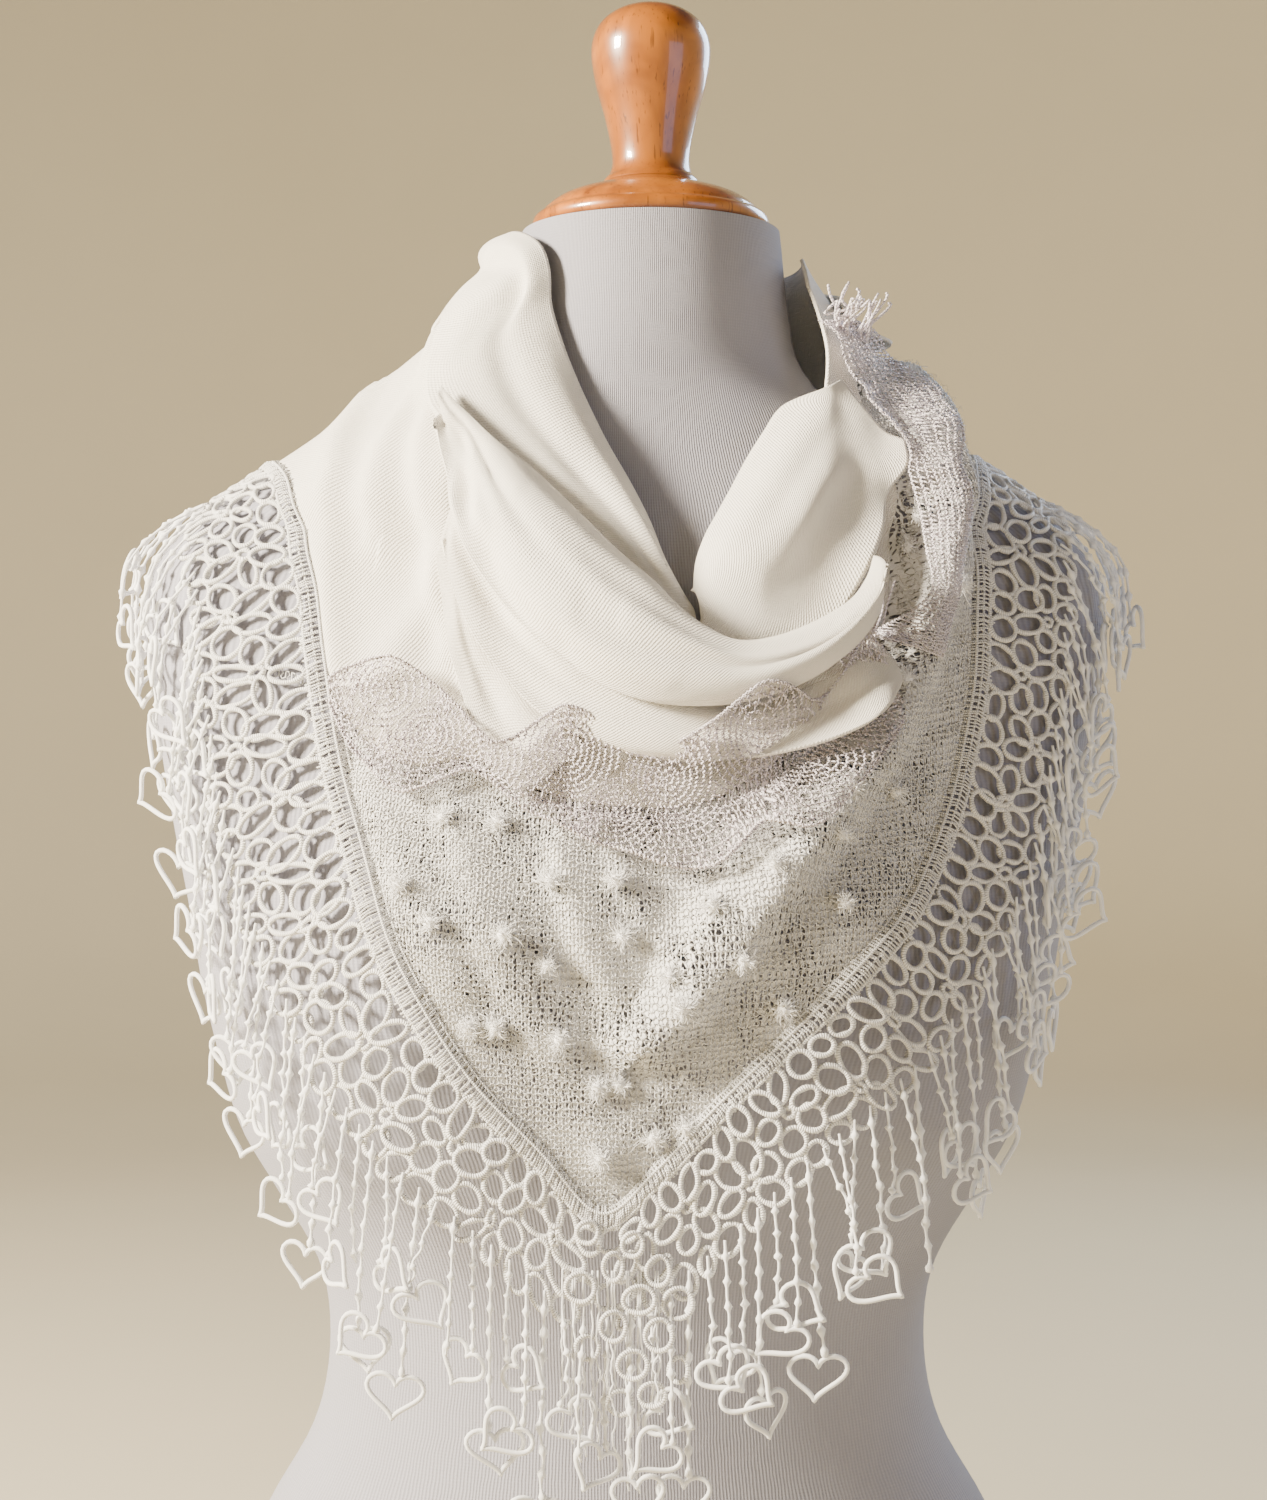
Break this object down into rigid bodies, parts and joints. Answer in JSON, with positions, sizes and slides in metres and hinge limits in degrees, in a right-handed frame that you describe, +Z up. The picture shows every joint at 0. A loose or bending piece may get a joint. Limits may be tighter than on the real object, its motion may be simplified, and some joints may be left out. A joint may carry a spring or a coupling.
{
  "type": "lace shawl on dress form",
  "caption": "Cream wool shawl with an openwork knit corner, crochet ruffle, ring lace edging and heart fringe, wound round the neck of a limbless dress form with a wooden handle.",
  "frame": {"origin": "middle of the form's flat base, on the surface it stands on", "axes": "+Z up along the form, -Y towards the front, +X to the right of someone who looks at the front"},
  "size_m": [0.4203, 0.2651, 0.7586],
  "materials": {
    "jersey": "matt off-white stretch jersey with fine upright ribs",
    "varnished_wood": "honey-coloured turned wood under glossy varnish",
    "wool": "brushed cream wool in a fine twill",
    "knit": "fine openwork knit with small fuzzy bobbles",
    "ruffle_yarn": "pale lilac-grey crochet with a metallic glint",
    "lace": "off-white guipure lace with a silky twist",
    "fringe_thread": "silky off-white thread with tight knots"
  },
  "bodies": {
    "root": {"form_torso": "jersey", "neck_cap": "varnished_wood", "handle": "varnished_wood", "wool_left": "wool", "wool_front": "wool", "wool_back": "wool", "wool_fold_low": "wool", "wool_fold_middle": "wool", "wool_loop_inner": "wool", "wool_tuck_right": "wool", "wool_loop_outer": "wool", "knit_front": "knit", "knit_shoulder": "knit", "ruffle_front": "ruffle_yarn", "ruffle_shoulder": "ruffle_yarn", "edging_left": "lace", "edging_right": "lace", "edging_back": "lace", "fringe_left": "fringe_thread", "fringe_right": "fringe_thread", "fringe_back": "fringe_thread"}
  },
  "joints": []
}
